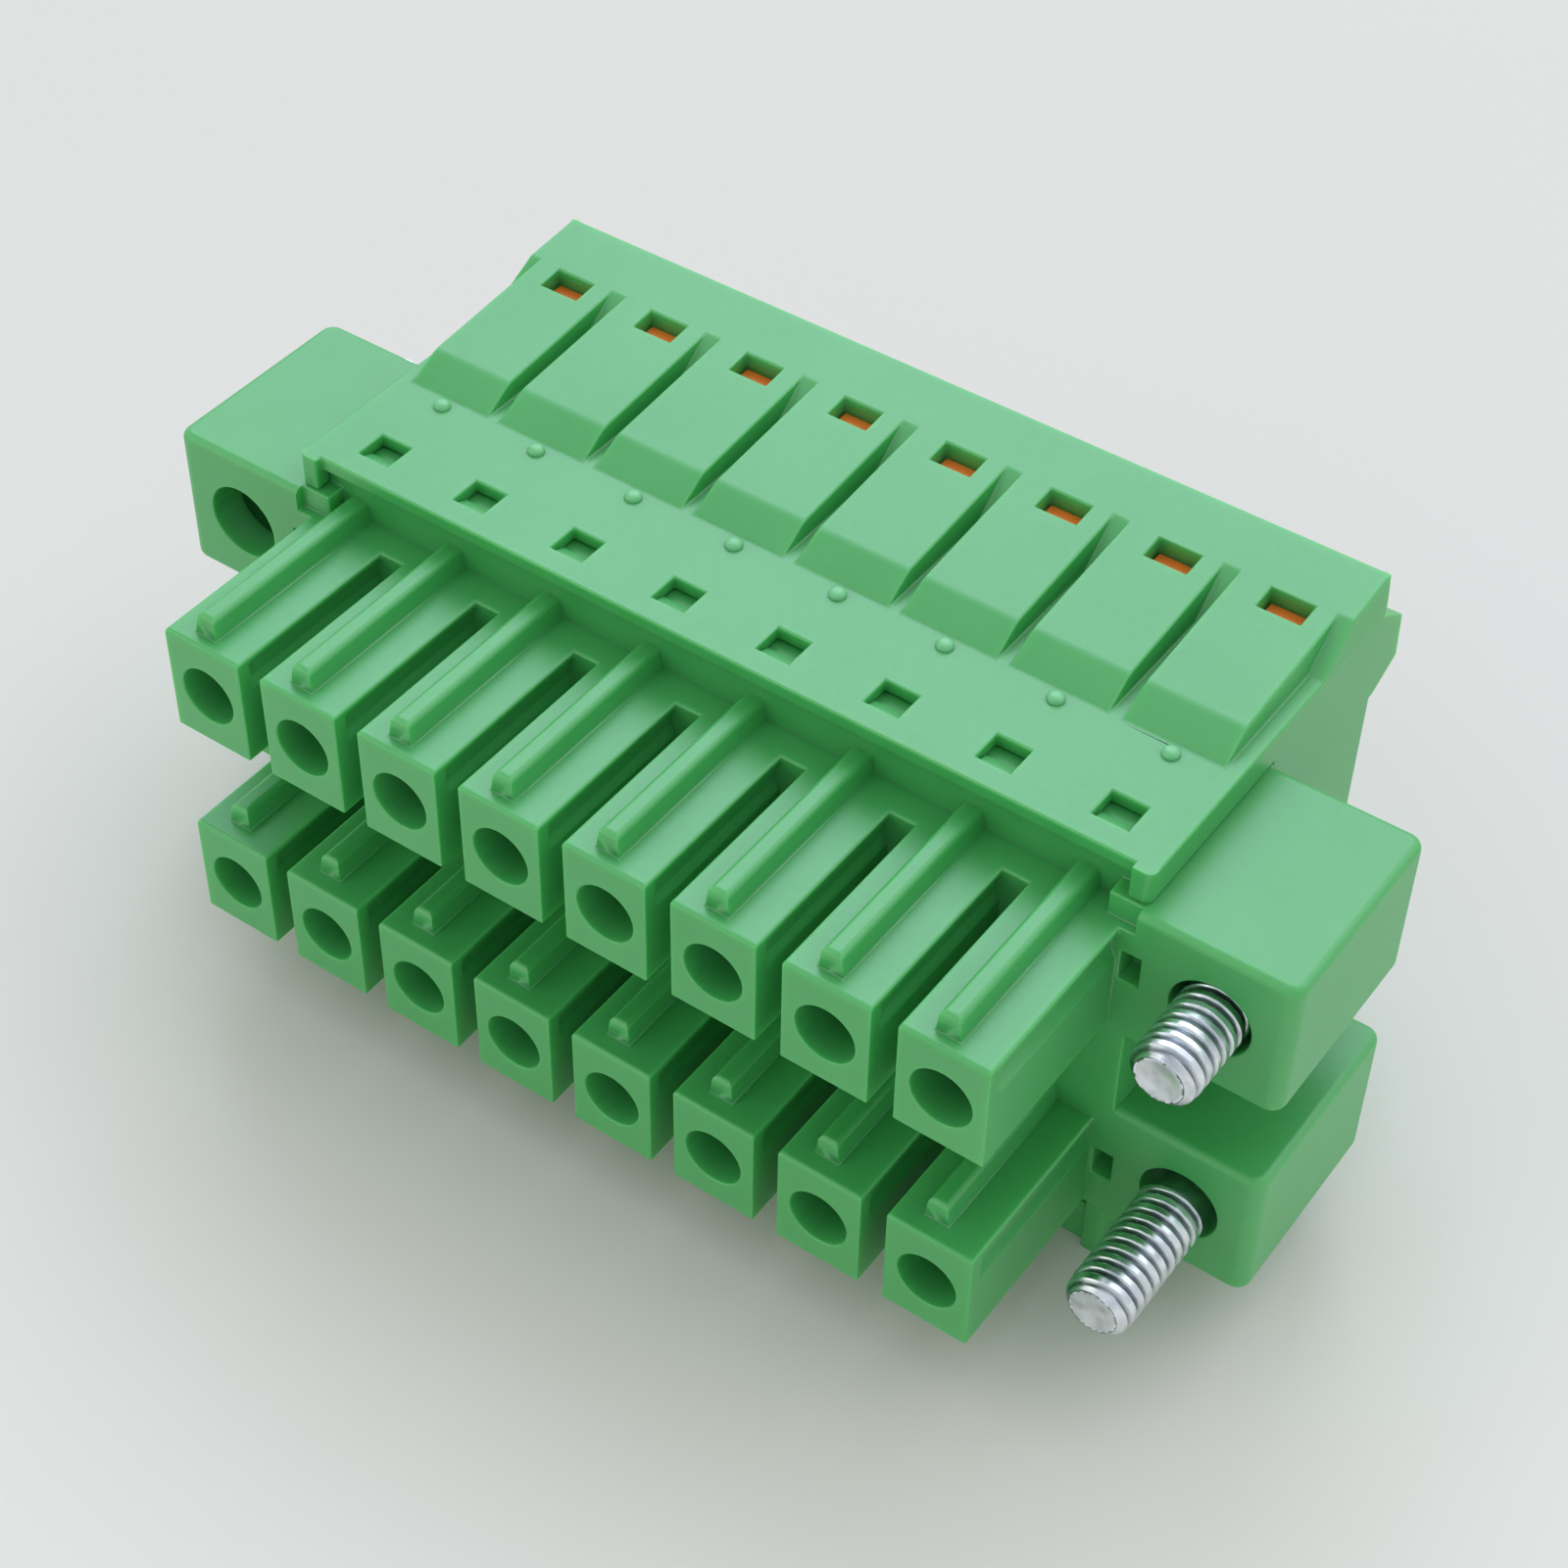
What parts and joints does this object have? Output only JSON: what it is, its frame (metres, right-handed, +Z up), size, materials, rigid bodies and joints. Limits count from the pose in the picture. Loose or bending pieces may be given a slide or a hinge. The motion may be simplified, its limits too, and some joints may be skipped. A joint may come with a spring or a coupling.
{
  "type": "removable terminal block",
  "caption": "Double-row plug for a circuit board header, with socket fingers, push-in spring wire entries, orange release buttons and screw flanges.",
  "frame": {"origin": "middle of the footprint's length and width, on the flat underside", "axes": "+X along the poles from pole 1 to pole 8, +Y from the mating face towards the wire entries, +Z up"},
  "size_m": [0.0374, 0.0202, 0.0167],
  "materials": {
    "green_moulding": "fine satin moulded polyamide",
    "orange_button": "satin moulded plastic",
    "zinc_screw": "bright blue-white zinc plating",
    "tinned_contact": "matt tin plating on copper alloy",
    "spring_steel": "plain stainless strip"
  },
  "bodies": {
    "plug_body": {"contact_carrier": "green_moulding", "rear_housing": "green_moulding", "contact_upper_1": "tinned_contact", "leg_spring_upper_1": "spring_steel", "contact_upper_2": "tinned_contact", "leg_spring_upper_2": "spring_steel", "contact_upper_3": "tinned_contact", "leg_spring_upper_3": "spring_steel", "contact_upper_4": "tinned_contact", "leg_spring_upper_4": "spring_steel", "contact_upper_5": "tinned_contact", "leg_spring_upper_5": "spring_steel", "contact_upper_6": "tinned_contact", "leg_spring_upper_6": "spring_steel", "contact_upper_7": "tinned_contact", "leg_spring_upper_7": "spring_steel", "contact_upper_8": "tinned_contact", "leg_spring_upper_8": "spring_steel", "contact_lower_1": "tinned_contact", "leg_spring_lower_1": "spring_steel", "contact_lower_2": "tinned_contact", "leg_spring_lower_2": "spring_steel", "contact_lower_3": "tinned_contact", "leg_spring_lower_3": "spring_steel", "contact_lower_4": "tinned_contact", "leg_spring_lower_4": "spring_steel", "contact_lower_5": "tinned_contact", "leg_spring_lower_5": "spring_steel", "contact_lower_6": "tinned_contact", "leg_spring_lower_6": "spring_steel", "contact_lower_7": "tinned_contact", "leg_spring_lower_7": "spring_steel", "contact_lower_8": "tinned_contact", "leg_spring_lower_8": "spring_steel"},
    "button_upper_1": {"push_button_upper_1": "orange_button"},
    "button_upper_2": {"push_button_upper_2": "orange_button"},
    "button_upper_3": {"push_button_upper_3": "orange_button"},
    "button_upper_4": {"push_button_upper_4": "orange_button"},
    "button_upper_5": {"push_button_upper_5": "orange_button"},
    "button_upper_6": {"push_button_upper_6": "orange_button"},
    "button_upper_7": {"push_button_upper_7": "orange_button"},
    "button_upper_8": {"push_button_upper_8": "orange_button"},
    "button_lower_1": {"push_button_lower_1": "orange_button"},
    "button_lower_2": {"push_button_lower_2": "orange_button"},
    "button_lower_3": {"push_button_lower_3": "orange_button"},
    "button_lower_4": {"push_button_lower_4": "orange_button"},
    "button_lower_5": {"push_button_lower_5": "orange_button"},
    "button_lower_6": {"push_button_lower_6": "orange_button"},
    "button_lower_7": {"push_button_lower_7": "orange_button"},
    "button_lower_8": {"push_button_lower_8": "orange_button"},
    "screw_upper_right": {"flange_screw_upper_right": "zinc_screw"},
    "screw_lower_right": {"flange_screw_lower_right": "zinc_screw"},
    "screw_upper_left": {"flange_screw_upper_left": "zinc_screw"},
    "screw_lower_left": {"flange_screw_lower_left": "zinc_screw"}
  },
  "joints": [
    {"name": "press_upper_1", "type": "slide", "parent": "plug_body", "child": "button_upper_1", "axis": [0, -1, 0], "range_m": [0, 0.0013], "stiffness_N_per_m": 400},
    {"name": "press_upper_2", "type": "slide", "parent": "plug_body", "child": "button_upper_2", "axis": [0, -1, 0], "range_m": [0, 0.0013], "stiffness_N_per_m": 400},
    {"name": "press_upper_3", "type": "slide", "parent": "plug_body", "child": "button_upper_3", "axis": [0, -1, 0], "range_m": [0, 0.0013], "stiffness_N_per_m": 400},
    {"name": "press_upper_4", "type": "slide", "parent": "plug_body", "child": "button_upper_4", "axis": [0, -1, 0], "range_m": [0, 0.0013], "stiffness_N_per_m": 400},
    {"name": "press_upper_5", "type": "slide", "parent": "plug_body", "child": "button_upper_5", "axis": [0, -1, 0], "range_m": [0, 0.0013], "stiffness_N_per_m": 400},
    {"name": "press_upper_6", "type": "slide", "parent": "plug_body", "child": "button_upper_6", "axis": [0, -1, 0], "range_m": [0, 0.0013], "stiffness_N_per_m": 400},
    {"name": "press_upper_7", "type": "slide", "parent": "plug_body", "child": "button_upper_7", "axis": [0, -1, 0], "range_m": [0, 0.0013], "stiffness_N_per_m": 400},
    {"name": "press_upper_8", "type": "slide", "parent": "plug_body", "child": "button_upper_8", "axis": [0, -1, 0], "range_m": [0, 0.0013], "stiffness_N_per_m": 400},
    {"name": "press_lower_1", "type": "slide", "parent": "plug_body", "child": "button_lower_1", "axis": [0, -1, 0], "range_m": [0, 0.0013], "stiffness_N_per_m": 400},
    {"name": "press_lower_2", "type": "slide", "parent": "plug_body", "child": "button_lower_2", "axis": [0, -1, 0], "range_m": [0, 0.0013], "stiffness_N_per_m": 400},
    {"name": "press_lower_3", "type": "slide", "parent": "plug_body", "child": "button_lower_3", "axis": [0, -1, 0], "range_m": [0, 0.0013], "stiffness_N_per_m": 400},
    {"name": "press_lower_4", "type": "slide", "parent": "plug_body", "child": "button_lower_4", "axis": [0, -1, 0], "range_m": [0, 0.0013], "stiffness_N_per_m": 400},
    {"name": "press_lower_5", "type": "slide", "parent": "plug_body", "child": "button_lower_5", "axis": [0, -1, 0], "range_m": [0, 0.0013], "stiffness_N_per_m": 400},
    {"name": "press_lower_6", "type": "slide", "parent": "plug_body", "child": "button_lower_6", "axis": [0, -1, 0], "range_m": [0, 0.0013], "stiffness_N_per_m": 400},
    {"name": "press_lower_7", "type": "slide", "parent": "plug_body", "child": "button_lower_7", "axis": [0, -1, 0], "range_m": [0, 0.0013], "stiffness_N_per_m": 400},
    {"name": "press_lower_8", "type": "slide", "parent": "plug_body", "child": "button_lower_8", "axis": [0, -1, 0], "range_m": [0, 0.0013], "stiffness_N_per_m": 400},
    {"name": "slide_upper_right", "type": "slide", "parent": "plug_body", "child": "screw_upper_right", "axis": [0, -1, 0], "range_m": [-0.0037, 0.0019]},
    {"name": "slide_lower_right", "type": "slide", "parent": "plug_body", "child": "screw_lower_right", "axis": [0, -1, 0], "range_m": [-0.0056, 0]},
    {"name": "slide_upper_left", "type": "slide", "parent": "plug_body", "child": "screw_upper_left", "axis": [0, -1, 0], "range_m": [0, 0.0056]},
    {"name": "slide_lower_left", "type": "slide", "parent": "plug_body", "child": "screw_lower_left", "axis": [0, -1, 0], "range_m": [0, 0.0056]}
  ]
}
